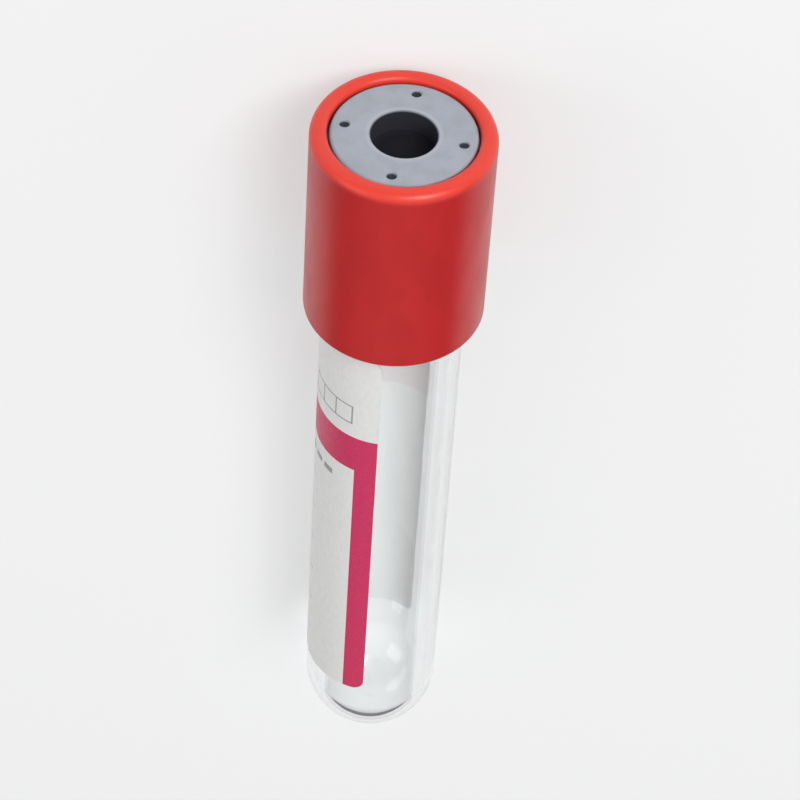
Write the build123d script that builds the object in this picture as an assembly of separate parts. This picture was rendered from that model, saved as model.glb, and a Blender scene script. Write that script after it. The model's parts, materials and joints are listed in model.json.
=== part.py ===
from build123d import *
import os
from math import asin, atan2, cos, degrees, hypot, sin

# A 13 x 75 mm evacuated blood collection tube with its push-on closure, in millimetres.
# Every piece is turned about the tube's own axis, with z along it: z = 0 is the tip of the round
# bottom. The whole tube is then laid down on the floor, its closed end towards -Y.

# --- Driving sizes: tube ---------------------------------------------------------------------
TUBE_RADIUS = 6.5
TUBE_WALL = 1.0
TUBE_LENGTH = 75.0
RIM_ROUNDING = 0.3

# --- Driving sizes: rubber stopper -----------------------------------------------------------
HEAD_OVERHANG = 0.65
SHOULDER_WIDTH = 0.65
SHOULDER_HEIGHT = 4.3
BOSS_HEIGHT = 1.1
PLUG_LENGTH = 8.5
PLUG_LEAD_IN = 0.9
HOLLOW_RADIUS = 2.8
HOLLOW_DEPTH = 7.5
HOLLOW_ROUNDING = 1.6
WELL_RADIUS = 2.95
WELL_DEPTH = 2.6
WELL_FLOOR_ROUNDING = 0.4
WELL_MOUTH_ROUNDING = 0.2
RUBBER_ROUNDING = 0.3
DIMPLE_RADIUS = 0.4
DIMPLE_DEPTH = 0.35
DIMPLE_INSET = 1.2
DIMPLE_COUNT = 4
FIRST_DIMPLE_ANGLE = -9.0

# --- Driving sizes: safety cap ---------------------------------------------------------------
CAP_HEIGHT = 21.3
CAP_WALL = 1.05
LIP_THICKNESS = 1.5
LIP_OUTER_ROUNDING = 0.9
LIP_INNER_ROUNDING = 0.5
SKIRT_EDGE_ROUNDING = 0.3
SNAP_RING_HEIGHT = 1.1
SNAP_RING_RAMP = 0.6

# --- Driving sizes: label --------------------------------------------------------------------
LABEL_WIDTH = 25.0
LABEL_LENGTH = 48.0
LABEL_THICKNESS = 0.1
LABEL_ABOVE_ROUND_END = 3.5
LABEL_RIGHT_EDGE_ANGLE = -5.0

# --- Clearances, each measured on the radius -------------------------------------------------
PLUG_CLEARANCE = 0.05
HEAD_CLEARANCE = 0.05
BOSS_CLEARANCE = 0.2
SNAP_RING_CLEARANCE = 0.05

# --- Sizes that follow from those above ------------------------------------------------------
BORE_RADIUS = TUBE_RADIUS - TUBE_WALL
PLUG_RADIUS = BORE_RADIUS - PLUG_CLEARANCE
PLUG_TIP = TUBE_LENGTH - PLUG_LENGTH
SHOULDER = TUBE_LENGTH + SHOULDER_HEIGHT
STOPPER_TOP = SHOULDER + BOSS_HEIGHT
HEAD_RADIUS = TUBE_RADIUS + HEAD_OVERHANG
BOSS_RADIUS = HEAD_RADIUS - SHOULDER_WIDTH
DIMPLE_CIRCLE_RADIUS = BOSS_RADIUS - DIMPLE_INSET
CAP_BORE_RADIUS = HEAD_RADIUS + HEAD_CLEARANCE
CAP_RADIUS = CAP_BORE_RADIUS + CAP_WALL
CAP_TOP = SHOULDER + LIP_THICKNESS
SKIRT_END = CAP_TOP - CAP_HEIGHT
SNAP_RING_RADIUS = TUBE_RADIUS + SNAP_RING_CLEARANCE
SNAP_RING_BOTTOM = TUBE_LENGTH - SNAP_RING_HEIGHT
LIP_OPENING_RADIUS = BOSS_RADIUS + BOSS_CLEARANCE
LABEL_BOTTOM = TUBE_RADIUS + LABEL_ABOVE_ROUND_END


def turned(outline, angle=360):
    """The solid swept by an outline of (radius, z) points that turns about the tube's axis."""
    return revolve(Plane.XZ * make_face(outline), Axis.Z, angle)


def make_tube():
    """A round-bottomed tube: two concentric quarter circles joined by straight walls and a rounded rim."""
    outer_end = CenterArc((0, TUBE_RADIUS), TUBE_RADIUS, -90, 90)
    inner_end = CenterArc((0, TUBE_RADIUS), BORE_RADIUS, 0, -90)
    walls = FilletPolyline(
        (TUBE_RADIUS, TUBE_RADIUS),
        (TUBE_RADIUS, TUBE_LENGTH),
        (BORE_RADIUS, TUBE_LENGTH),
        (BORE_RADIUS, TUBE_RADIUS),
        radius=RIM_ROUNDING,
    )
    axis_line = Line((0, TUBE_WALL), (0, 0))
    return turned(outer_end + walls + inner_end + axis_line)


def make_rubber_stopper():
    """The stopper: a plug with a hollow underside, a head that sits on the rim, and a boss with the well."""
    corners = [
        ((0, STOPPER_TOP - WELL_DEPTH), 0),
        ((WELL_RADIUS, STOPPER_TOP - WELL_DEPTH), WELL_FLOOR_ROUNDING),
        ((WELL_RADIUS, STOPPER_TOP), WELL_MOUTH_ROUNDING),
        ((BOSS_RADIUS, STOPPER_TOP), RUBBER_ROUNDING),
        ((BOSS_RADIUS, SHOULDER), 0),
        ((HEAD_RADIUS, SHOULDER), RUBBER_ROUNDING),
        ((HEAD_RADIUS, TUBE_LENGTH), RUBBER_ROUNDING),
        ((PLUG_RADIUS, TUBE_LENGTH), 0),
        ((PLUG_RADIUS, PLUG_TIP + PLUG_LEAD_IN), 0),
        ((PLUG_RADIUS - PLUG_LEAD_IN, PLUG_TIP), RUBBER_ROUNDING),
        ((HOLLOW_RADIUS, PLUG_TIP), RUBBER_ROUNDING),
        ((HOLLOW_RADIUS, PLUG_TIP + HOLLOW_DEPTH), HOLLOW_ROUNDING),
        ((0, PLUG_TIP + HOLLOW_DEPTH), 0),
    ]
    points, roundings = zip(*corners)
    stopper = turned(FilletPolyline(*points, radius=roundings, close=True))
    dimple = Cylinder(DIMPLE_RADIUS, DIMPLE_DEPTH, align=(Align.CENTER, Align.CENTER, Align.MAX))
    on_top_face = Location((0, 0, STOPPER_TOP))
    around = PolarLocations(DIMPLE_CIRCLE_RADIUS, DIMPLE_COUNT, start_angle=FIRST_DIMPLE_ANGLE)
    for place in around:
        stopper -= on_top_face * place * dimple
    return stopper


def make_safety_cap():
    """The cap: a lip over the stopper's shoulder, a snap ring under its head, and a skirt round the tube."""
    corners = [
        ((LIP_OPENING_RADIUS, CAP_TOP), LIP_INNER_ROUNDING),
        ((CAP_RADIUS, CAP_TOP), LIP_OUTER_ROUNDING),
        ((CAP_RADIUS, SKIRT_END), SKIRT_EDGE_ROUNDING),
        ((CAP_BORE_RADIUS, SKIRT_END), SKIRT_EDGE_ROUNDING),
        ((CAP_BORE_RADIUS, SNAP_RING_BOTTOM), 0),
        ((SNAP_RING_RADIUS, SNAP_RING_BOTTOM + SNAP_RING_RAMP), 0),
        ((SNAP_RING_RADIUS, TUBE_LENGTH), 0),
        ((CAP_BORE_RADIUS, TUBE_LENGTH), 0),
        ((CAP_BORE_RADIUS, SHOULDER), 0),
        ((LIP_OPENING_RADIUS, SHOULDER), 0),
    ]
    points, roundings = zip(*corners)
    return turned(FilletPolyline(*points, radius=roundings, close=True))


def make_label():
    """The label: a thin skin on the tube's wall. Angles run from the side that faces up, towards +X."""
    skin = Pos(TUBE_RADIUS + LABEL_THICKNESS / 2, LABEL_BOTTOM + LABEL_LENGTH / 2) * Rectangle(
        LABEL_THICKNESS, LABEL_LENGTH
    )
    wrap_angle = degrees(LABEL_WIDTH / TUBE_RADIUS)
    upward = -90
    left_edge_angle = upward + LABEL_RIGHT_EDGE_ANGLE - wrap_angle
    return Rotation(0, 0, left_edge_angle) * revolve(Plane.XZ * skin, Axis.Z, wrap_angle)


def lying_down():
    """Where the upright tube goes when it lies on its round bottom and on the edge of its cap's skirt.

    The height of the skirt's rounded edge over the floor is
    TUBE_RADIUS + reach * sin(tilt) - edge * cos(tilt) - SKIRT_EDGE_ROUNDING, which is 0 at this tilt.
    """
    reach = SKIRT_END + SKIRT_EDGE_ROUNDING - TUBE_RADIUS
    edge = CAP_RADIUS - SKIRT_EDGE_ROUNDING
    tilt = atan2(edge, reach) - asin((TUBE_RADIUS - SKIRT_EDGE_ROUNDING) / hypot(reach, edge))
    lip_reach = CAP_TOP - LIP_OUTER_ROUNDING - TUBE_RADIUS
    lip_edge = CAP_RADIUS - LIP_OUTER_ROUNDING
    length = TUBE_RADIUS + lip_reach * cos(tilt) + lip_edge * sin(tilt) + LIP_OUTER_ROUNDING
    round_end_centre = Location((0, TUBE_RADIUS - length / 2, TUBE_RADIUS))
    lean = Rotation(degrees(tilt) - 90, 0, 0)
    print(f"tilt {degrees(tilt):.4f} degrees, length along Y {length:.4f} mm")
    print(f"axis through (0, {TUBE_RADIUS - length / 2:.4f}, {TUBE_RADIUS}) at z = {TUBE_RADIUS}")
    return round_end_centre * lean * Location((0, 0, -TUBE_RADIUS))


def main():
    """Build every piece upright, lay it down and write it."""
    os.makedirs("parts", exist_ok=True)
    place = lying_down()
    nodes = {
        "tube": make_tube(),
        "rubber_stopper": make_rubber_stopper(),
        "safety_cap": make_safety_cap(),
        "label": make_label(),
    }
    for name, solid in nodes.items():
        export_step(place * solid, f"parts/{name}.step")


main()
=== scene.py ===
"""Builds the looks of a capped blood collection tube that lies on its side.

The pieces and finishes are in millimetres, in the tube's own frame: a radius from the
axis, an azimuth round it that starts at the upward side and turns towards +X, and a height
along the axis from the tip of the round end. Lie turns that frame into metres in the
shared frame, and each finish reads the same frame through a Mapping node. The finishes'
relief and glow_scale, and the studio, are in metres.
"""

import json
import logging
import math
from collections.abc import Sequence
from dataclasses import astuple, dataclass, field
from enum import Enum
from functools import reduce

import bpy
import numpy as np
from mathutils import Matrix, Vector


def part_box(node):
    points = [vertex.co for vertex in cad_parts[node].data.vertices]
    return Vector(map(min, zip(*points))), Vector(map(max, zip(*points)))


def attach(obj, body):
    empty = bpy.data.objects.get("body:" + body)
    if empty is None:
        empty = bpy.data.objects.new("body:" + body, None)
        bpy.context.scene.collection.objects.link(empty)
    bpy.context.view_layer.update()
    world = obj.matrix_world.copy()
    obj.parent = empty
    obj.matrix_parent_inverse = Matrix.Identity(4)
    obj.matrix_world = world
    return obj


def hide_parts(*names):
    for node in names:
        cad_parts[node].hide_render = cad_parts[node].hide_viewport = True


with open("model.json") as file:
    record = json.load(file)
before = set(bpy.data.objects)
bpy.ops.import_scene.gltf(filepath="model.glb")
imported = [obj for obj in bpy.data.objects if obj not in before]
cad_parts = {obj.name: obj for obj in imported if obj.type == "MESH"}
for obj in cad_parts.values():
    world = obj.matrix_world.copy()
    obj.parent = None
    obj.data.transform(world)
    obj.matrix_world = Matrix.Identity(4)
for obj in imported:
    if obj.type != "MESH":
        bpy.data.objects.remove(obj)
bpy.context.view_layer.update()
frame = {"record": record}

LOG = logging.getLogger("tube")
MM = 0.001
WELL_MOUNT_HEIGHT = 79.2  # of the needle well's mount over the tip, in mm
STUDIO_MIDDLE = (0.0, 0.0, 0.0085)  # where the lamps are aimed, in metres
MIX_SHARE, MIX_FIRST, MIX_SECOND, MIX_COLOUR = 0, 6, 7, 2  # a Mix node's colour sockets
Colour = tuple[float, float, float]
Span = tuple[float, float]
Socket = bpy.types.NodeSocket
Value = float | Socket
Paint = Colour | Socket
Array = np.ndarray
Measure = float | Array
Material = bpy.types.Material


class Body(Enum):
    """The two bodies that pieces ride on."""

    TUBE = "tube_body"
    CLOSURE = "closure"


class Slot(Enum):
    """The record's material slots."""

    CLEAR = "clear_plastic"
    RUBBER = "grey_rubber"
    RED = "red_plastic"
    LABEL = "label_paper"


# --- The tube's frame ---


@dataclass(frozen=True)
class Lie:
    """Where the tube lies: the tip of its round end, its axis and its upward side."""

    tip: Array
    axis: Array
    side: Array
    upward: Array

    @classmethod
    def from_mount(cls, mount: dict, height: float) -> "Lie":
        """Finds the frame from a mount on the axis.

        Args:
            mount: one of the record's mounts, with its place and its axis.
            height: how far that place is from the tip of the round end, in mm.

        Returns:
            The frame, whose side is +X and whose upward side leans with the axis.
        """
        axis = np.array(mount["axis"], float)
        axis /= np.linalg.norm(axis)
        side = np.array((1.0, 0.0, 0.0))
        tip = np.array(mount["pos_m"], float) - axis * height * MM
        return cls(tip, axis, side, np.cross(side, axis))

    def place(self, radius: Measure, azimuth: Measure, height: Measure) -> Array:
        """Turns cylinder coordinates into points.

        A point is the tip, plus the height along the axis, plus the radius times
        (sin(azimuth) side + cos(azimuth) upward).

        Args:
            radius: distances from the axis, in mm.
            azimuth: angles from the upward side towards +X, in radians.
            height: distances along the axis, in mm.

        Returns:
            Points in metres, with a last dimension of 3.
        """
        radius, azimuth, height = np.broadcast_arrays(radius, azimuth, height)
        out = np.sin(azimuth)[..., None] * self.side + np.cos(azimuth)[..., None] * self.upward
        return self.tip + MM * (height[..., None] * self.axis + radius[..., None] * out)

    def rotation(self) -> Matrix:
        """Turns a direction into (side, downward, along the axis)."""
        return Matrix((self.side, -self.upward, self.axis))


# --- Profiles and skins ---


@dataclass(frozen=True)
class Corner:
    """A corner of a profile: its radius and height, how it is rounded, and the longest
    step on the straight run that follows it."""

    radius: float
    height: float
    rounding: float = 0.0
    step: float = 2.0
    arc_points: int = 9


def straight(start: Array, end: Array, step: float, margin: float = 0.05) -> Array:
    """Points inside a straight run, with one close to each end to hold the shading flat.

    Args:
        start: where the run begins.
        end: where the run ends.
        step: the longest distance between two points.
        margin: how far the outermost points are from the run's ends.

    Returns:
        The points between start and end, without either.
    """
    length = float(np.linalg.norm(end - start))
    if length < 3 * margin:
        return np.empty((0, 2))
    inner = np.linspace(margin, length - margin, max(2, math.ceil(length / step) + 1))
    return start + (end - start) * (inner / length)[:, None]


def rounding(before: Array, corner: Array, after: Array, radius: float, count: int) -> Array:
    """The points that stand for a corner: itself, or an arc that touches both its runs.

    The arc's centre is on the corner's bisector, at the radius over the sine of half the
    angle, and its points turn evenly from one touching point to the other.

    Args:
        before: the corner before.
        corner: the corner.
        after: the corner after.
        radius: the arc's radius, or 0 for a sharp corner.
        count: the number of points on the arc.

    Returns:
        One point, or count points.
    """
    if radius <= 0:
        return corner[None]
    back, on = before - corner, after - corner
    back, on = back / np.linalg.norm(back), on / np.linalg.norm(on)
    half = math.acos(float(np.clip(back @ on, -1, 1))) / 2
    bisector = (back + on) / np.linalg.norm(back + on)
    centre = corner + bisector * radius / math.sin(half)
    first = corner + back * radius / math.tan(half) - centre
    last = corner + on * radius / math.tan(half) - centre
    turn = math.pi - 2 * half
    share = np.linspace(0, 1, count)[:, None]
    swept = np.sin((1 - share) * turn) * first + np.sin(share * turn) * last
    return centre + swept / math.sin(turn)


def outline(corners: Sequence[Corner], closed: bool) -> Array:
    """A profile through rounded corners, as (radius, height) points.

    Args:
        corners: the corners, in order, so that an outer wall is followed upwards.
        closed: whether the last corner joins the first. An open profile starts and ends
            on the axis.

    Returns:
        The points, with no point given twice.
    """
    at = [np.array((c.radius, c.height)) for c in corners]
    count = len(at)
    ends = []
    for i, corner in enumerate(corners):
        radius = corner.rounding if closed or 0 < i < count - 1 else 0
        ends.append(rounding(at[i - 1], at[i], at[(i + 1) % count], radius, corner.arc_points))
    rows = []
    for i, corner in enumerate(corners):
        rows.append(ends[i])
        if closed or i < count - 1:
            rows.append(straight(ends[i][-1], ends[(i + 1) % count][0], corner.step))
    return np.concatenate(rows)


def linked(name: str, data: bpy.types.ID) -> bpy.types.Object:
    """Makes an object of its data, and links it to the scene."""
    made = bpy.data.objects.new(name, data)
    bpy.context.scene.collection.objects.link(made)
    return made


@dataclass
class Skin:
    """A closed surface: its points in metres and its faces, which all point outwards."""

    points: Array
    quads: Array
    triangles: Array = field(default_factory=lambda: np.empty((0, 3), int))

    def piece(self, name: str) -> bpy.types.Object:
        """Makes the surface an object at the origin, smooth all over.

        Args:
            name: the object's name.

        Returns:
            The object, linked to the scene.
        """
        mesh = bpy.data.meshes.new(name)
        mesh.from_pydata(self.points.tolist(), [], self.quads.tolist() + self.triangles.tolist())
        mesh.validate()
        mesh.shade_smooth()
        return linked(name, mesh)


def lattice(rows: int, columns: int, closed_rows: bool, closed_columns: bool) -> Array:
    """Faces between neighbouring rows and columns of a grid of points.

    A face goes round (row, column), (row, next column), (next row, next column) and
    (next row, column), and the last row or column may join the first.

    Args:
        rows: the number of rows.
        columns: the number of columns.
        closed_rows: whether the last row joins the first.
        closed_columns: whether the last column joins the first.

    Returns:
        Four point numbers for each face.
    """
    row = np.arange(rows if closed_rows else rows - 1)[:, None]
    column = np.arange(columns if closed_columns else columns - 1)[None]
    next_row, next_column = (row + 1) % rows, (column + 1) % columns
    corners = ((row, column), (row, next_column), (next_row, next_column), (next_row, column))
    numbers = np.broadcast_arrays(*(r * columns + c for r, c in corners))
    return np.stack(numbers, -1).reshape(-1, 4)


def turned(lie: Lie, radius: Array, azimuth: Array, height: Array, closed: bool) -> Skin:
    """Carries a profile round the axis.

    Row i and column j of the grid are the profile's point i at azimuth j. An open profile
    starts and ends on the axis, where its row becomes one point with a fan of triangles.

    Args:
        lie: the tube's frame.
        radius: the radius at each row and column, in mm.
        azimuth: the azimuth of each column, in radians.
        height: the height at each row and column, in mm.
        closed: whether the profile is a loop.

    Returns:
        The closed surface.
    """
    points = lie.place(radius, azimuth[None], height)
    rows, columns = points.shape[:2]
    if closed:
        return Skin(points.reshape(-1, 3), lattice(rows, columns, True, True))
    middle = points[1:-1]
    quads = lattice(rows - 2, columns, False, True)
    first, last = len(middle) * columns, len(middle) * columns + 1
    here = np.arange(columns)
    there = (here + 1) % columns
    top = (len(middle) - 1) * columns
    foot = np.stack((np.full(columns, first), there, here), -1)
    head = np.stack((top + here, top + there, np.full(columns, last)), -1)
    poles = np.stack((points[0, 0], points[-1, 0]))
    points = np.concatenate((middle.reshape(-1, 3), poles))
    return Skin(points, quads, np.concatenate((foot, head)))


def round_steps(count: int) -> Array:
    """Even azimuths all the way round, in radians."""
    return np.arange(count) * (2 * math.pi / count)


def smooth_step(low: float, high: float, value: Array) -> Array:
    """Rises from 0 at low to 1 at high, as 3 t squared minus 2 t cubed."""
    share = np.clip((value - low) / (high - low), 0, 1)
    return share * share * (3 - 2 * share)


# --- Finishes ---


@dataclass(frozen=True)
class Fade:
    """A smooth change, from start at low to end at high."""

    low: float
    high: float
    start: float = 0.0
    end: float = 1.0

    def inputs(self) -> dict[str, float]:
        """What a Map Range node takes for it."""
        names = ("From Min", "From Max", "To Min", "To Max")
        return dict(zip(names, astuple(self)))

    def moved(self, place: float) -> "Fade":
        """The same change, its low and high counted from a place."""
        return Fade(place + self.low, place + self.high, self.start, self.end)


@dataclass(frozen=True)
class Grain:
    """A noise: how fine it is, how many finer layers it has, how strong they are, and how
    the place is scaled across and along the axis if the grain runs one way."""

    scale: float = 1.0
    detail: float = 3.0
    roughness: float = 0.5
    stretch: Span | None = None


def opaque(paint: Paint) -> object:
    """A plain colour with full alpha, or a socket as it is."""
    return paint if isinstance(paint, Socket) else (*paint, 1.0)


class Graph:
    """A node tree with short calls for what the finishes use."""

    def __init__(self, tree: bpy.types.NodeTree) -> None:
        """Takes over a material's or the world's tree, and empties it."""
        self.tree = tree
        tree.nodes.clear()

    def add(
        self, kind: str, inputs: dict[str | int, object] | None = None, **settings: object
    ) -> bpy.types.Node:
        """Adds a node.

        Args:
            kind: the node's type.
            inputs: what each input takes, a socket to link or a value.
            settings: the node's own properties.

        Returns:
            The node.
        """
        node = self.tree.nodes.new(kind)
        for name, value in settings.items():
            setattr(node, name, value)
        for name, value in (inputs or {}).items():
            if isinstance(value, Socket):
                self.tree.links.new(value, node.inputs[name])
            else:
                node.inputs[name].default_value = value
        return node

    def math(self, operation: str, *values: Value) -> Socket:
        """One sum on numbers."""
        return self.add("ShaderNodeMath", dict(enumerate(values)), operation=operation).outputs[0]

    def product(self, *values: Value) -> Socket:
        """The values multiplied together, from the first to the last."""
        return reduce(lambda first, second: self.math("MULTIPLY", first, second), values)

    def vector(self, operation: str, *values: object, output: str = "Vector") -> Socket:
        """One sum on vectors."""
        node = self.add("ShaderNodeVectorMath", dict(enumerate(values)), operation=operation)
        return node.outputs[output]

    def ease(self, value: Value, fade: Fade) -> Socket:
        """Changes smoothly with the value, as the fade says."""
        inputs = {"Value": value, **fade.inputs()}
        node = self.add("ShaderNodeMapRange", inputs, interpolation_type="SMOOTHSTEP")
        return node.outputs["Result"]

    def between(self, value: Value, low: float, high: float, soft: float = 0.02) -> Socket:
        """1 where the value is from low to high, and 0 elsewhere, over a soft edge."""
        rise, fall = Fade(low - soft, low + soft), Fade(high - soft, high + soft, 1.0, 0.0)
        return self.product(self.ease(value, rise), self.ease(value, fall))

    def blend(self, share: Value, first: Paint, second: Paint) -> Socket:
        """Goes from the first colour to the second."""
        inputs = {MIX_SHARE: share, MIX_FIRST: opaque(first), MIX_SECOND: opaque(second)}
        return self.add("ShaderNodeMix", inputs, data_type="RGBA").outputs[MIX_COLOUR]

    def bump(self, height: Socket, distance: float) -> Socket:
        """A normal bent by a height, whose full range is distance metres."""
        inputs = {"Height": height, "Distance": distance}
        return self.add("ShaderNodeBump", inputs).outputs["Normal"]

    def finish(self, shader: Socket, kind: str = "ShaderNodeOutputMaterial") -> None:
        """Links a shader to the tree's output."""
        self.add(kind, {"Surface": shader})


class TubeGraph(Graph):
    """A material's node tree, with the tube's frame in mm at hand."""

    def __init__(self, name: str, lie: Lie) -> None:
        """Starts a material.

        Args:
            name: the material's name.
            lie: the tube's frame.
        """
        self.material = bpy.data.materials.new(name)
        self.material.use_nodes = True
        super().__init__(self.material.node_tree)
        turn = lie.rotation()
        shift = -(turn @ Vector(lie.tip)) / MM
        where = self.add("ShaderNodeTexCoord").outputs["Object"]
        inputs = {
            "Vector": where,
            "Location": tuple(shift),
            "Rotation": tuple(turn.to_euler("XYZ")),
            "Scale": (1 / MM,) * 3,
        }
        self.place = self.add("ShaderNodeMapping", inputs, vector_type="POINT").outputs["Vector"]
        parts = self.add("ShaderNodeSeparateXYZ", {0: self.place})
        self.across, self.down, self.height = parts.outputs

    def radius(self) -> Socket:
        """The distance from the axis, in mm."""
        squares = [self.math("POWER", part, 2.0) for part in (self.across, self.down)]
        return self.math("SQRT", self.math("ADD", *squares))

    def noise(self, grain: Grain) -> Socket:
        """Noise round 0.5 that stays with the tube.

        Args:
            grain: what the noise is like.

        Returns:
            The noise.
        """
        place = self.place
        if grain.stretch:
            across, along = grain.stretch
            place = self.vector("MULTIPLY", place, (across, across, along))
        inputs = {"Scale": grain.scale, "Detail": grain.detail, "Roughness": grain.roughness}
        return self.add("ShaderNodeTexNoise", {"Vector": place, **inputs}).outputs[0]


@dataclass(frozen=True)
class ClearPlastic:
    """Clear moulded PET: thin, polished, with a faint unevenness from the mould."""

    tint: Colour = (0.954, 0.964, 0.966)
    lamp_tint: Colour = (0.94, 0.95, 0.955)
    index: float = 1.57
    roughness: float = 0.012
    swell: Grain = Grain(detail=1.0, stretch=(0.35, 0.10))
    relief: float = 6.0e-6

    def material(self, lie: Lie) -> Material:
        """Builds the finish.

        Lamps shine straight through it, so that what lies behind it isn't left dark.

        Args:
            lie: the tube's frame.

        Returns:
            The material.
        """
        graph = TubeGraph("clear_pet", lie)
        swell = graph.noise(self.swell)
        glass = graph.add(
            "ShaderNodeBsdfPrincipled",
            {
                "Base Color": opaque(self.tint),
                "Roughness": self.roughness,
                "IOR": self.index,
                "Transmission Weight": 1.0,
                "Normal": graph.bump(swell, self.relief),
            },
        )
        clear = graph.add("ShaderNodeBsdfTransparent", {"Color": opaque(self.lamp_tint)})
        lamps = graph.add("ShaderNodeLightPath").outputs["Is Shadow Ray"]
        mix = graph.add("ShaderNodeMixShader", {0: lamps, 1: glass.outputs[0], 2: clear.outputs[0]})
        graph.finish(mix.outputs[0])
        return graph.material


@dataclass(frozen=True)
class Opaque:
    """What the opaque finishes share. The relief is the depth of their grain, in metres."""

    index: float
    gloss: float
    relief: float

    def dress(
        self, graph: TubeGraph, colour: Socket, rough: Socket, height: Socket, **glow: object
    ) -> Material:
        """Ends a finish with its shader.

        Args:
            graph: the material's tree.
            colour: the surface's colour.
            rough: its roughness.
            height: its grain.
            glow: the shader's inputs for light that scatters inside.

        Returns:
            The material.
        """
        inputs = {
            "Base Color": colour,
            "Roughness": rough,
            "IOR": self.index,
            "Specular IOR Level": self.gloss,
            "Normal": graph.bump(height, self.relief),
        }
        graph.finish(graph.add("ShaderNodeBsdfPrincipled", {**inputs, **glow}).outputs[0])
        return graph.material


@dataclass(frozen=True)
class GreyRubber(Opaque):
    """Matt butyl rubber, mottled grey and finely grained, with painted shade that turns it near
    black down in the well and dark in the dimples, and a painted highlight in a lighter ring round
    the well's mouth.

    The painted highlight's ring and the well's edge are counted from the well's radius.
    Heights are counted from the stopper's top face, and worked keeps the painted shade
    of the well and dimples off the underside.
    """

    face: Colour = (0.385, 0.415, 0.475)
    mottle: Colour = (0.315, 0.350, 0.385)
    # painted shade: the near-black colour of the well's walls and floor
    painted_well_shade: Colour = (0.0100, 0.0094, 0.0160)
    # painted shade: the dark colour of the dimples
    dimple: Colour = (0.030, 0.034, 0.048)
    # the colour of the random lighter specks, and of the painted highlight in the ring round the
    # well's mouth
    speck_and_rim_highlight: Colour = (0.49, 0.51, 0.57)
    index: float = 1.5
    gloss: float = 0.36
    patches: Grain = Grain(0.55, 4.0, 0.6)
    patch_fade: Fade = Fade(0.40, 0.68)
    patch_share: float = 0.55
    specks: Grain = Grain(9.0, 2.0)
    speck_fade: Fade = Fade(0.62, 0.74)
    speck_share: float = 0.25
    ring: Span = (0.12, 0.42)
    ring_soft: float = 0.18
    rim_highlight_share: float = 0.55
    worked: Fade = Fade(-6.0, -5.9)
    well_edge: Fade = Fade(-0.02, 0.16, 1.0, 0.0)
    well_shade_depth: Fade = Fade(-0.25, -0.02, 1.0, 0.55)
    well_roughness: float = 0.95
    dimple_ring: Span = (4.6, 6.0)
    dimple_depth: Fade = Fade(-0.30, -0.12, 1.0, 0.0)
    fine: Grain = Grain(14.0, 3.0, 0.6)
    coarse: Grain = Grain(1.6, 2.0)
    coarse_share: float = 2.0
    roughness: Fade = Fade(0.3, 0.7, 0.50, 0.66)
    relief: float = 5.0e-6

    def material(self, lie: Lie, well_radius: float, face_height: float) -> Material:
        """Builds the finish.

        Args:
            lie: the tube's frame.
            well_radius: the radius of the needle's well, in mm.
            face_height: the height of the stopper's top face, in mm.

        Returns:
            The material.
        """
        graph = TubeGraph("grey_rubber", lie)
        radius, height = graph.radius(), graph.height
        patches = graph.ease(graph.noise(self.patches), self.patch_fade)
        colour = graph.blend(graph.product(patches, self.patch_share), self.face, self.mottle)
        specks = graph.ease(graph.noise(self.specks), self.speck_fade)
        colour = graph.blend(graph.product(specks, self.speck_share), colour, self.speck_and_rim_highlight)
        # painted highlight: a lighter ring just outside the well's mouth
        low, high = self.ring
        ring = graph.between(radius, well_radius + low, well_radius + high, self.ring_soft)
        colour = graph.blend(graph.product(ring, self.rim_highlight_share), colour, self.speck_and_rim_highlight)
        above = graph.ease(height, self.worked.moved(face_height))
        sunk = graph.ease(height, self.dimple_depth.moved(face_height))
        inside = graph.ease(radius, self.well_edge.moved(well_radius))
        # painted shade: the well goes near black, darkest below its mouth
        well = graph.product(inside, above)
        well = graph.product(well, graph.ease(height, self.well_shade_depth.moved(face_height)))
        colour = graph.blend(well, colour, self.painted_well_shade)
        # painted shade: the dimples darken towards their floors
        dimple_shade = graph.product(sunk, graph.between(radius, *self.dimple_ring), above)
        colour = graph.blend(dimple_shade, colour, self.dimple)
        fine, coarse = graph.noise(self.fine), graph.noise(self.coarse)
        relief = graph.math("ADD", fine, graph.product(coarse, self.coarse_share))
        rough = graph.ease(coarse, self.roughness)
        rough = graph.math("MAXIMUM", rough, graph.product(well, self.well_roughness))
        return self.dress(graph, colour, rough, relief)


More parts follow.
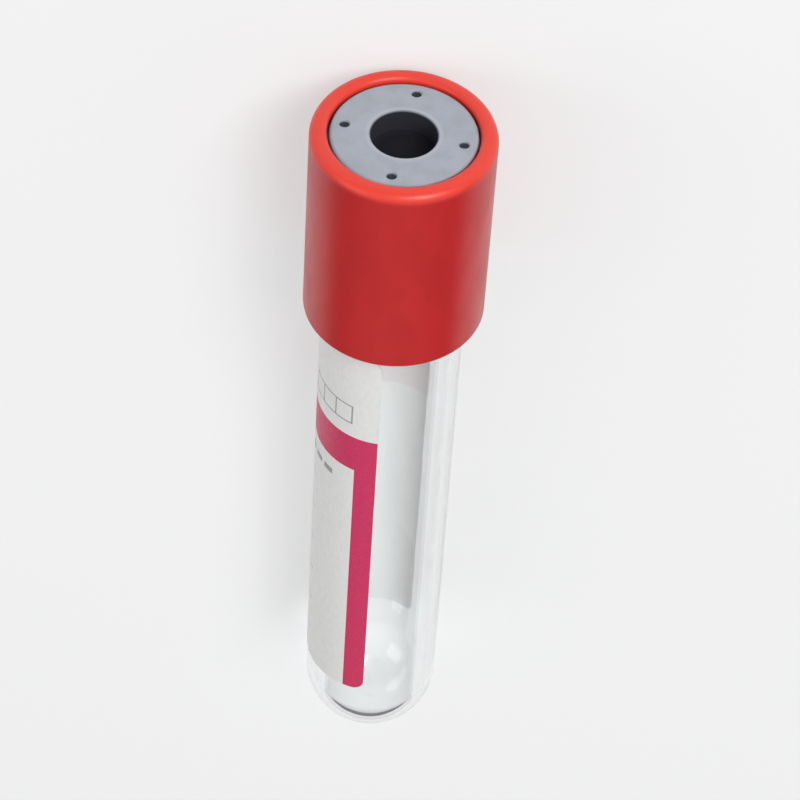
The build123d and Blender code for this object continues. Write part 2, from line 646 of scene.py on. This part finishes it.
@dataclass(frozen=True)
class RedPlastic(Opaque):
    """Red polyethylene: satin and faintly cloudy, with a painted highlight that lightens the lip's
    top and a painted glow along the skirt's lower edge.

    The lip highlight's fade is counted from the top of the lip, and the edge glow's from the
    skirt's foot.
    """

    wall: Colour = (0.53, 0.0075, 0.0085)
    cloud: Colour = (0.485, 0.0060, 0.0075)
    # the lighter red of the painted highlight on the lip and the painted glow at the skirt's edge
    lip: Colour = (0.80, 0.054, 0.033)
    index: float = 1.51
    gloss: float = 0.36
    clouds: Grain = Grain(1.0, 3.0, 0.55, (0.35, 0.16))
    cloud_fade: Fade = Fade(0.35, 0.7)
    lip_highlight_fade: Fade = Fade(-1.25, -0.35)
    edge_glow_fade: Fade = Fade(0.0, 0.35, 0.55, 0.0)
    roughness: Fade = Fade(0.25, 0.75, 0.29, 0.38)
    glow: float = 0.12
    glow_radius: Colour = (1.0, 0.12, 0.08)
    glow_scale: float = 0.0007
    peel: Grain = Grain(2.2, 2.0)
    relief: float = 2.5e-6

    def material(self, lie: Lie, lip_height: float, skirt_height: float) -> Material:
        """Builds the finish.

        Args:
            lie: the tube's frame.
            lip_height: the height of the lip's top, in mm.
            skirt_height: the height of the skirt's lower edge, in mm.

        Returns:
            The material.
        """
        graph = TubeGraph("red_polyethylene", lie)
        clouds = graph.noise(self.clouds)
        colour = graph.blend(graph.ease(clouds, self.cloud_fade), self.wall, self.cloud)
        # painted highlight on the lip's top and painted glow along the skirt's foot, both in the
        # lip colour
        lip = graph.ease(graph.height, self.lip_highlight_fade.moved(lip_height))
        edge = graph.ease(graph.height, self.edge_glow_fade.moved(skirt_height))
        colour = graph.blend(graph.math("MAXIMUM", lip, edge), colour, self.lip)
        peel = graph.noise(self.peel)
        rough = graph.ease(clouds, self.roughness)
        glow = {
            "Subsurface Weight": self.glow,
            "Subsurface Radius": self.glow_radius,
            "Subsurface Scale": self.glow_scale,
        }
        return self.dress(graph, colour, rough, peel, **glow)


@dataclass(frozen=True)
class PrintedPaper(Opaque):
    """White label paper with a pink stripe and band, and plain grey rules and boxes.

    The print reads the label's own map, whose first number is the distance in mm from the
    label's right edge and whose second is the height.
    """

    paper: Colour = (0.83, 0.825, 0.81)
    # painted light: the back, seen only through the plastic, is a paler paper than the face to make
    # up for the light it loses there
    back: Colour = (0.90, 0.895, 0.885)
    pink: Colour = (0.62, 0.024, 0.110)
    grey: Colour = (0.20, 0.20, 0.215)
    index: float = 1.48
    gloss: float = 0.4
    stripe: Span = (-1.0, 2.1)
    band: Span = (42.7, 47.2)
    boxes: Span = (48.9, 51.3)
    box_pitch: float = 1.9
    box_start: float = 2.6
    box_margins: float = 4.4
    box_line: float = 0.16
    rule_pitch: float = 4.6
    lowest_rule: float = 14.0
    rule_count: int = 6
    rule_start: float = 7.4
    bar: Span = (0.60, 1.05)
    bar_lengths: tuple[float, ...] = (2.6, 1.5)
    note: Span = (40.35, 41.05)
    note_pitch: float = 1.7
    note_gap: float = 0.45
    note_span: Span = (4.6, 13.1)
    margin: float = 1.7
    line: float = 0.10
    fibre: Grain = Grain(1.0, 4.0, 0.6, (3.0, 1.2))
    fibre_fade: Fade = Fade(0.3, 0.75)
    fibre_shade: float = 0.94
    wear: Grain = Grain(6.0, 3.0, 0.7)
    worn: Fade = Fade(0.25, 0.5, 0.93, 1.0)
    ink_share: float = 0.8
    show_through: float = 0.10
    roughness: Fade = Fade(0.3, 0.7, 0.36, 0.48)
    relief: float = 2.0e-6

    def bars(
        self, graph: TubeGraph, along: Socket, first: float, lengths: Sequence[float]
    ) -> Socket:
        """A row of plain bars, each as long as its own number says.

        Args:
            graph: the material's tree.
            along: the distance along the row.
            first: where the first bar starts.
            lengths: the bars' lengths, in order.

        Returns:
            1 on the bars.
        """
        ink, at = 0.0, first
        for length in lengths:
            ink = graph.math("MAXIMUM", ink, graph.between(along, at, at + length))
            at += length + self.note_gap
        return ink

    def rules(self, graph: TubeGraph, left: Socket, height: Socket, width: float) -> Socket:
        """Evenly spaced writing rules, each with two short bars over its start, and a row
        of short bars under the band.

        Args:
            graph: the material's tree.
            left: the distance from the label's right edge.
            height: the height along the tube.
            width: the label's width.

        Returns:
            How much ink there is.
        """
        middle = self.rule_pitch / 2
        bottom = self.lowest_rule - middle
        row = graph.math("MODULO", graph.math("SUBTRACT", height, bottom), self.rule_pitch)
        rule = graph.product(
            graph.between(row, middle - self.line / 2, middle + self.line / 2),
            graph.between(left, self.rule_start, width - self.margin),
        )
        inward = graph.math("SUBTRACT", width - self.margin, left)
        titles = graph.product(
            graph.between(row, middle + self.bar[0], middle + self.bar[1]),
            self.bars(graph, inward, 0.0, self.bar_lengths),
        )
        marks = graph.product(
            graph.math("MAXIMUM", rule, titles),
            graph.between(height, bottom, bottom + self.rule_pitch * self.rule_count),
        )
        start, stop = self.note_span
        count = round((stop - start + self.note_gap) / self.note_pitch)
        notes = self.bars(graph, left, start, (self.note_pitch - self.note_gap,) * count)
        note = graph.product(graph.between(height, *self.note), notes)
        return graph.math("MAXIMUM", marks, note)

    def outlined(self, graph: TubeGraph, left: Socket, height: Socket, width: float) -> Socket:
        """A row of outlined boxes above the band.

        Args:
            graph: the material's tree.
            left: the distance from the label's right edge.
            height: the height along the tube.
            width: the label's width.

        Returns:
            How much ink there is.
        """
        low, high = self.boxes
        start, pitch = self.box_start, self.box_pitch
        end = start + math.floor((width - self.box_margins) / pitch) * pitch
        span = graph.between(left, start - self.line, end + self.line)
        rows = graph.between(height, low, high)
        cell = graph.math("MODULO", graph.math("SUBTRACT", left, start - pitch), pitch)
        off_middle = graph.math("ABSOLUTE", graph.math("SUBTRACT", cell, pitch / 2))
        upright = graph.math("GREATER_THAN", off_middle, (pitch - self.box_line) / 2)
        inside = graph.between(height, low + self.box_line, high - self.box_line)
        lines = graph.math("MAXIMUM", upright, graph.math("SUBTRACT", 1.0, inside))
        return graph.product(lines, rows, span)

    def material(self, lie: Lie, map_name: str, width: float, skin_radius: float) -> Material:
        """Builds the finish.

        Args:
            lie: the tube's frame.
            map_name: the name of the label's map.
            width: the label's width, in mm.
            skin_radius: a radius between the label's back and its face, in mm.

        Returns:
            The material.
        """
        graph = TubeGraph("label_film", lie)
        map_node = graph.add("ShaderNodeUVMap", uv_map=map_name)
        left, height, _ = graph.add("ShaderNodeSeparateXYZ", {0: map_node.outputs[0]}).outputs
        stripe = graph.product(
            graph.between(left, *self.stripe), graph.between(height, 0.0, self.band[1])
        )
        pink = graph.math("MAXIMUM", stripe, graph.between(height, *self.band))
        rules = self.rules(graph, left, height, width)
        grey = graph.math("MAXIMUM", rules, self.outlined(graph, left, height, width))
        grey = graph.product(grey, graph.math("SUBTRACT", 1.0, pink))
        fibre = graph.noise(self.fibre)
        shaded = tuple(self.fibre_shade * c for c in self.paper)
        paper = graph.blend(graph.ease(fibre, self.fibre_fade), self.paper, shaded)
        worn = graph.ease(graph.noise(self.wear), self.worn)
        printed = graph.blend(graph.product(pink, worn), paper, self.pink)
        ink = graph.product(grey, graph.product(worn, self.ink_share))
        printed = graph.blend(ink, printed, self.grey)
        outside = graph.math("GREATER_THAN", graph.radius(), skin_radius)
        # painted light: the back gets the paler back colour, standing in for the light lost through
        # the plastic
        shown = graph.blend(graph.product(pink, self.show_through), self.back, self.pink)
        colour = graph.blend(outside, shown, printed)
        return self.dress(graph, colour, graph.ease(fibre, self.roughness), fibre)


# --- The four pieces ---


def settle(piece: bpy.types.Object, material: Material, body: Body, node: str) -> None:
    """Gives a piece its finish and its body, hides the node that it replaces, and logs how far its
    box is from the node's.

    Args:
        piece: the finished object.
        material: its finish.
        body: the body that it rides on.
        node: the node that it replaces.
    """
    piece.data.materials.append(material)
    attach(piece, body.value)
    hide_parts(node)
    faces = sum(len(face.vertices) - 2 for face in piece.data.polygons)
    low, high = map(np.array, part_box(node))
    points = np.array([corner[:] for corner in piece.bound_box])
    spare = max(np.abs(points.min(0) - low).max(), np.abs(points.max(0) - high).max())
    LOG.info("%s: %d triangles, %.3f mm from the node's box", piece.name, faces, spare / MM)


@dataclass(frozen=True)
class TubeBarrel:
    """The clear tube: a straight wall, a hemisphere at its foot and a rounded rim."""

    radius: float = 6.5
    wall: float = 1.0
    length: float = 75.0
    rim_rounding: float = 0.3
    gate_radius: float = 0.9
    gate_floor: float = 0.55
    gate_depth: float = 0.12
    steps: int = 192
    dome_rows: int = 36
    finish: ClearPlastic = ClearPlastic()

    def dome(self, radius: float) -> Array:
        """A quarter circle from the axis out to the wall, about the round end's centre."""
        angle = np.linspace(0, math.pi / 2, self.dome_rows)
        return np.stack((radius * np.sin(angle), self.radius - radius * np.cos(angle)), -1)

    def profile(self) -> Array:
        """The outline of half the section, up outside and down inside.

        The foot's outside has the shallow round mark that the mould's gate leaves: the
        height rises there by the gate's depth, smoothly from its edge inwards.

        Returns:
            (radius, height) points that start and end on the axis.
        """
        inner = self.radius - self.wall
        outside = self.dome(self.radius)
        edge = self.gate_radius
        mark = 1 - smooth_step(self.gate_floor * edge, edge, outside[:, 0])
        outside[:, 1] += self.gate_depth * mark
        corners = (
            Corner(self.radius, self.radius, step=4.0),
            Corner(self.radius, self.length, self.rim_rounding),
            Corner(inner, self.length, self.rim_rounding, step=4.0),
            Corner(inner, self.radius),
        )
        walls = outline(corners, closed=False)
        return np.concatenate((outside[:-1], walls, self.dome(inner)[-2::-1]))

    def build(self, lie: Lie) -> None:
        """Builds the tube and dresses it.

        Args:
            lie: the tube's frame.
        """
        radius, height = self.profile().T
        skin = turned(lie, radius[:, None], round_steps(self.steps), height[:, None], closed=False)
        settle(skin.piece("clear_barrel"), self.finish.material(lie), Body.TUBE, "tube")


@dataclass(frozen=True)
class Stopper:
    """The grey rubber stopper: a plug, a head under the cap's lip, a boss with a well for
    the needle and four small dimples, and a hollow underside."""

    plug_radius: float = 5.45
    plug_foot: float = 66.5
    foot_lead: float = 0.9
    head_radius: float = 7.15
    head_foot: float = 75.0
    shoulder: float = 79.3
    boss_radius: float = 6.5
    top: float = 80.4
    well_radius: float = 2.95
    well_floor: float = 77.8
    hollow_radius: float = 2.8
    hollow_top: float = 74.0
    dimple_radius: float = 0.52
    dimple_floor: float = 0.72
    dimple_depth: float = 0.35
    dimple_circle: float = 5.3
    first_dimple: float = math.radians(81.0)
    dimple_count: int = 4
    face_margin: float = 0.05
    rounding: float = 0.3
    hollow_rounding: float = 1.6
    lead_rounding: float = 0.15
    nook_rounding: float = 0.08
    mouth_rounding: float = 0.2
    floor_rounding: float = 0.4
    steps: int = 384
    crowding: float = 0.62
    finish: GreyRubber = GreyRubber()

    def profile(self) -> Array:
        """The outline of half the section, from under the hollow's top to the well's floor."""
        corners = (
            Corner(0, self.hollow_top, step=0.5),
            Corner(self.hollow_radius, self.hollow_top, self.hollow_rounding, arc_points=12),
            Corner(self.hollow_radius, self.plug_foot, self.rounding),
            Corner(self.plug_radius - self.foot_lead, self.plug_foot, self.rounding),
            Corner(self.plug_radius, self.plug_foot + self.foot_lead, self.lead_rounding),
            Corner(self.plug_radius, self.head_foot, self.nook_rounding),
            Corner(self.head_radius, self.head_foot, self.rounding),
            Corner(self.head_radius, self.shoulder, self.rounding),
            Corner(self.boss_radius, self.shoulder, self.nook_rounding),
            Corner(self.boss_radius, self.top, self.rounding, step=0.06),
            Corner(self.well_radius, self.top, self.mouth_rounding, step=0.6),
            Corner(self.well_radius, self.well_floor, self.floor_rounding, step=0.4),
            Corner(0, self.well_floor),
        )
        return outline(corners, closed=False)

    def azimuths(self) -> Array:
        """Azimuths that crowd together at each dimple.

        An even angle t becomes the first dimple's azimuth plus t minus
        (crowding / n) sin(n t), for n dimples.

        Returns:
            The azimuths, in radians.
        """
        even = round_steps(self.steps)
        count = self.dimple_count
        return self.first_dimple + even - self.crowding / count * np.sin(count * even)

    def sunk(self, radius: Array, azimuth: Array, height: Array) -> Array:
        """Presses the dimples into the top face.

        Each point near the top sinks by the dimple's depth times a smooth step of its
        distance from the nearest dimple's middle.

        Args:
            radius: the radius of each row, in mm.
            azimuth: the azimuth of each column, in radians.
            height: the height of each row, in mm.

        Returns:
            The height at each row and column, in mm.
        """
        around = self.first_dimple + round_steps(self.dimple_count)
        away = np.sqrt(
            radius[..., None] ** 2
            + self.dimple_circle**2
            - 2 * radius[..., None] * self.dimple_circle * np.cos(azimuth[None, :, None] - around)
        ).min(-1)
        edge = self.dimple_radius
        depth = self.dimple_depth * (1 - smooth_step(self.dimple_floor * edge, edge, away))
        return height - depth * (height > self.top - self.face_margin)

    def build(self, lie: Lie) -> None:
        """Builds the stopper and dresses it.

        Args:
            lie: the tube's frame.
        """
        radius, height = self.profile().T
        azimuth = self.azimuths()
        sunk = self.sunk(radius[:, None], azimuth, height[:, None])
        skin = turned(lie, radius[:, None], azimuth, sunk, closed=False)
        material = self.finish.material(lie, self.well_radius, self.top)
        settle(skin.piece("rubber_plug"), material, Body.CLOSURE, "rubber_stopper")


@dataclass(frozen=True)
class SafetyCap:
    """The red cap: a skirt over the tube's neck, a snap ring inside it under the
    stopper's head, and a rounded lip that stands above the stopper's face."""

    radius: float = 8.25
    bore_radius: float = 7.2
    lip_radius: float = 6.7
    snap_radius: float = 6.55
    skirt_foot: float = 59.5
    snap_foot: float = 73.9
    snap_edge: float = 74.5
    snap_top: float = 75.0
    shoulder: float = 79.3
    top: float = 80.8
    foot_rounding: float = 0.3
    lip_outer_rounding: float = 0.9
    lip_inner_rounding: float = 0.5
    nook_rounding: float = 0.06
    snap_rounding: float = 0.1
    steps: int = 256
    finish: RedPlastic = RedPlastic()

    def profile(self) -> Array:
        """The outline of half the section: up outside, over the lip and down inside."""
        nook, snap = self.nook_rounding, self.snap_rounding
        corners = (
            Corner(self.bore_radius, self.skirt_foot, self.foot_rounding),
            Corner(self.radius, self.skirt_foot, self.foot_rounding, step=1.5),
            Corner(self.radius, self.top, self.lip_outer_rounding, arc_points=16),
            Corner(self.lip_radius, self.top, self.lip_inner_rounding, arc_points=12),
            Corner(self.lip_radius, self.shoulder, nook, arc_points=5),
            Corner(self.bore_radius, self.shoulder, nook, arc_points=5),
            Corner(self.bore_radius, self.snap_top, nook, arc_points=5),
            Corner(self.snap_radius, self.snap_top, snap, arc_points=5),
            Corner(self.snap_radius, self.snap_edge, snap, arc_points=5),
            Corner(self.bore_radius, self.snap_foot, snap, arc_points=5, step=1.5),
        )
        return outline(corners, closed=True)

    def build(self, lie: Lie) -> None:
        """Builds the cap and dresses it.

        Args:
            lie: the tube's frame.
        """
        radius, height = self.profile().T
        skin = turned(lie, radius[:, None], round_steps(self.steps), height[:, None], closed=True)
        material = self.finish.material(lie, self.top, self.skirt_foot)
        settle(skin.piece("red_cap"), material, Body.CLOSURE, "safety_cap")


@dataclass(frozen=True)
class Label:
    """The label: thin paper round part of the tube, with rounded corners, whose back is
    bonded into the wall so that it shows through the plastic."""

    tube_radius: float = 6.5
    thickness: float = 0.1
    bond: float = 0.02
    width: float = 25.0
    foot: float = 10.0
    top: float = 58.0
    right_edge: float = math.radians(-5.0)
    corner: float = 1.2
    columns: int = 180
    rows: int = 96
    corner_rows: int = 10
    map_name: str = "print"
    finish: PrintedPaper = PrintedPaper()

    def heights(self) -> Array:
        """Heights that crowd together in the rounded corners, by a cosine there.

        Returns:
            The heights, in mm.
        """
        turn = self.corner * (1 - np.cos(np.linspace(0, math.pi / 2, self.corner_rows)))
        count = self.rows - 2 * self.corner_rows + 2
        middle = np.linspace(self.foot + self.corner, self.top - self.corner, count)[1:-1]
        return np.concatenate((self.foot + turn, middle, self.top - turn[::-1]))

    def build(self, lie: Lie) -> None:
        """Builds the label and dresses it.

        A column's place is a share of the width between the two edges, and each edge
        curves in by corner - sqrt(corner^2 - (corner - d)^2), with d the distance from
        the nearer end.

        Args:
            lie: the tube's frame.
        """
        height = self.heights()[:, None]
        near = np.minimum(height - self.foot, self.top - height)
        curve = np.clip(self.corner - near, 0, self.corner)
        inset = self.corner - np.sqrt(self.corner**2 - curve**2)
        share = np.linspace(0, 1, self.columns)[None]
        left = inset + share * (self.width - 2 * inset)
        azimuth = self.right_edge - left / self.tube_radius
        face = lie.place(self.tube_radius + self.thickness, azimuth, height)
        back = lie.place(self.tube_radius - self.bond, azimuth, height)
        rows, columns = left.shape
        quads = lattice(rows, columns, False, False)
        count = rows * columns
        number = np.arange(count).reshape(rows, columns)
        rim = np.concatenate((number[0, :], number[1:, -1], number[-1, -2::-1], number[-2:0:-1, 0]))
        after = np.roll(rim, -1)
        edges = np.stack((rim, after, after + count, rim + count), -1)
        points = np.concatenate((face.reshape(-1, 3), back.reshape(-1, 3)))
        skin = Skin(points, np.concatenate((quads[:, ::-1], quads + count, edges)))
        piece = skin.piece("wrap_label")
        heights = np.broadcast_to(height, left.shape)
        self.map_print(piece, np.tile(left.ravel(), 2), np.tile(heights.ravel(), 2))
        skin_radius = self.tube_radius + self.thickness / 2
        material = self.finish.material(lie, self.map_name, self.width, skin_radius)
        settle(piece, material, Body.TUBE, "label")

    def map_print(self, piece: bpy.types.Object, left: Array, height: Array) -> None:
        """Writes each corner's distance from the right edge and height as its map.

        Args:
            piece: the label.
            left: the distance of each point from the right edge, in mm.
            height: the height of each point, in mm.
        """
        mesh = piece.data
        loops = np.empty(len(mesh.loops), np.int32)
        mesh.loops.foreach_get("vertex_index", loops)
        flat = np.stack((left[loops], height[loops]), -1).astype(np.float32)
        mesh.uv_layers.new(name=self.map_name).data.foreach_set("uv", flat.ravel())


# --- The studio ---


@dataclass(frozen=True)
class Lamp:
    """A large soft lamp, aimed at the tube."""

    name: str
    towards: tuple[float, float, float]
    distance: float
    size: float
    power: float

    def build(self, target: Vector) -> None:
        """Hangs the lamp.

        Args:
            target: the point that it is aimed at.
        """
        light = bpy.data.lights.new(self.name, "AREA")
        light.shape = "SQUARE"
        light.size = self.size
        light.energy = self.power
        lamp = linked(self.name, light)
        way = Vector(self.towards).normalized()
        lamp.location = target + way * self.distance
        lamp.rotation_euler = way.to_track_quat("Z", "Y").to_euler()


@dataclass(frozen=True)
class Studio:
    """A pale floor, a pale surrounding and soft lamps."""

    floor_size: float = 6.0
    floor_colour: Colour = (0.84, 0.84, 0.845)
    floor_seen: Colour = (0.985, 0.985, 0.985)
    floor_fade: Fade = Fade(0.12, 0.60, 0.50, 1.0)
    ambient: float = 0.43
    ambient_tint: Colour = (0.985, 0.995, 1.0)
    horizon: Colour = (0.13, 0.135, 0.14)
    zenith: Colour = (1.0, 1.0, 1.0)
    sky_rise: Fade = Fade(0.05, 0.95)
    lamps: tuple[Lamp, ...] = (
        Lamp("key", (0.40, 0.66, 0.74), 1.0, 0.45, 6.3),
        Lamp("fill", (-0.80, 0.10, 0.60), 1.2, 0.70, 2.5),
    )

    @staticmethod
    def seen(graph: Graph) -> Socket:
        """1 for a ray from the camera, a reflection or something clear, and 0 for others."""
        path = graph.add("ShaderNodeLightPath").outputs
        first = graph.math("MAXIMUM", path["Is Camera Ray"], path["Is Glossy Ray"])
        return graph.math("MAXIMUM", first, path["Is Transmission Ray"])

    def floor(self) -> None:
        """Lays the floor, white where it is seen, with the tube's shadow kept on it. Away
        from the tube it fades into the surrounding's white."""
        half = self.floor_size / 2
        mesh = bpy.data.meshes.new("floor")
        corners = [(x * half, y * half, 0) for x, y in ((-1, -1), (1, -1), (1, 1), (-1, 1))]
        mesh.from_pydata(corners, [], [(0, 1, 2, 3)])
        floor = linked("floor", mesh)
        material = bpy.data.materials.new("pale_floor")
        material.use_nodes = True
        graph = Graph(material.node_tree)
        matt = graph.add("ShaderNodeBsdfDiffuse", {"Color": opaque(self.floor_colour)})
        white = graph.add("ShaderNodeEmission", {"Color": opaque(self.floor_seen)})
        where = graph.add("ShaderNodeTexCoord").outputs["Object"]
        away = graph.ease(graph.vector("LENGTH", where, output="Value"), self.floor_fade)
        share = graph.product(self.seen(graph), away)
        mix = graph.add("ShaderNodeMixShader", {0: share, 1: matt.outputs[0], 2: white.outputs[0]})
        graph.finish(mix.outputs[0])
        mesh.materials.append(material)

    def surrounding(self) -> None:
        """Lights the scene evenly, and shows clear and glossy things a paler sky above a
        greyer horizon."""
        world = bpy.data.worlds.new("studio")
        bpy.context.scene.world = world
        world.use_nodes = True
        graph = Graph(world.node_tree)
        where = graph.add("ShaderNodeTexCoord").outputs["Generated"]
        upward = graph.add("ShaderNodeSeparateXYZ", {0: where}).outputs[2]
        sky = graph.blend(graph.ease(upward, self.sky_rise), self.horizon, self.zenith)
        camera = graph.add("ShaderNodeLightPath").outputs["Is Camera Ray"]
        shown = graph.blend(camera, sky, self.floor_seen)
        even = tuple(self.ambient * c for c in self.ambient_tint)
        colour = graph.blend(self.seen(graph), even, shown)
        back = graph.add("ShaderNodeBackground", {"Color": colour})
        graph.finish(back.outputs[0], "ShaderNodeOutputWorld")

    def build(self, target: Vector) -> None:
        """Builds the studio round the tube.

        Args:
            target: the tube's middle.
        """
        self.floor()
        self.surrounding()
        for lamp in self.lamps:
            lamp.build(target)


@dataclass(frozen=True)
class Viewpoint:
    """The camera: it looks at the stopper's face and the upper side from in front. Its
    middle is in the tube's frame, its sensor in mm and its other lengths in metres."""

    elevation: float = math.radians(47.8)
    lean: float = math.radians(3.9)
    distance: float = 0.324
    view_width: float = 0.075
    sensor: float = 36.0
    middle_height: float = 46.2
    middle_across: float = 1.2
    clip: Span = (0.005, 20.0)

    def build(self, lie: Lie) -> None:
        """Sets the camera.

        Its direction from the tube is sin(elevation) axis + cos(elevation) upward, and
        its upward vector is the axis, as it is seen, turned by the lean.

        Args:
            lie: the tube's frame.
        """
        target = lie.place(self.middle_across, math.pi / 2, self.middle_height)
        back = math.sin(self.elevation) * lie.axis + math.cos(self.elevation) * lie.upward
        up = lie.axis - (lie.axis @ back) * back
        up /= np.linalg.norm(up)
        right = math.cos(self.lean) * lie.side + math.sin(self.lean) * up
        up = math.cos(self.lean) * up - math.sin(self.lean) * lie.side
        data = bpy.data.cameras.new("camera")
        data.sensor_width = self.sensor
        data.lens = self.sensor * self.distance / self.view_width
        data.clip_start, data.clip_end = self.clip
        camera = linked("camera", data)
        turn = Matrix((right, up, back)).transposed().to_4x4()
        camera.matrix_world = Matrix.Translation(Vector(target + self.distance * back)) @ turn
        bpy.context.scene.camera = camera


def mount_named(name: str) -> dict:
    """The record's mount of that name."""
    return next(m for m in frame["record"]["mounts"] if m["name"] == name)


def main() -> None:
    """Builds the camera, the studio and the four pieces, and logs each piece."""
    logging.basicConfig(level=logging.INFO, format="%(message)s")
    bpy.context.scene.view_settings.view_transform = "Standard"
    lie = Lie.from_mount(mount_named("needle_well"), WELL_MOUNT_HEIGHT)
    Viewpoint().build(lie)
    Studio().build(Vector(STUDIO_MIDDLE))
    for piece in (TubeBarrel(), Stopper(), SafetyCap(), Label()):
        piece.build(lie)


if __name__ == "__main__":
    main()
